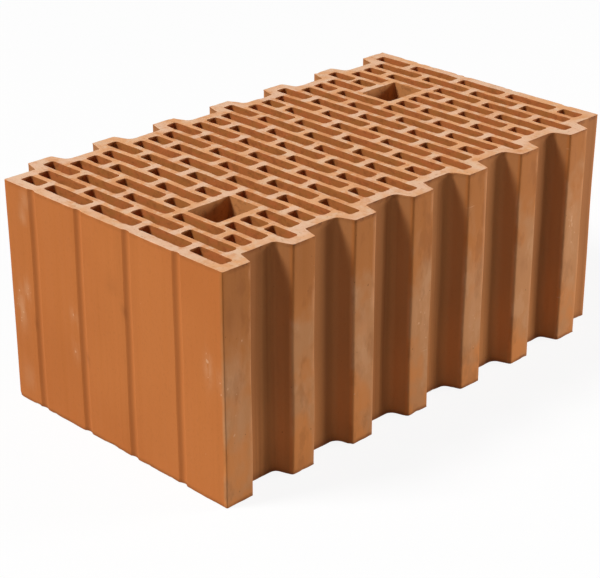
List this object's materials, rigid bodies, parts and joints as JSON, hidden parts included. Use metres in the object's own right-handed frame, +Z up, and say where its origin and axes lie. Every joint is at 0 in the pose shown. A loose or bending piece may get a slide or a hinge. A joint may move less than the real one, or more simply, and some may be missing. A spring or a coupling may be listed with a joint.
{
  "type": "hollow clay block",
  "caption": "Upright fired clay wall block with staggered through slots, grip holes, tongue-and-recess sides that interlock with the next block, and plain grooved ends.",
  "frame": {"origin": "centre of the lower cut face, on the floor", "axes": "+Z up along the slots, +Y along the block's length through the wall, +X along the course"},
  "size_m": [0.265, 0.45, 0.19],
  "materials": {
    "fired_clay": "matt unglazed fired clay, smooth on the extruded sides and grainy on the cut faces"
  },
  "bodies": {
    "root": {"clay_block": "fired_clay"}
  },
  "joints": []
}
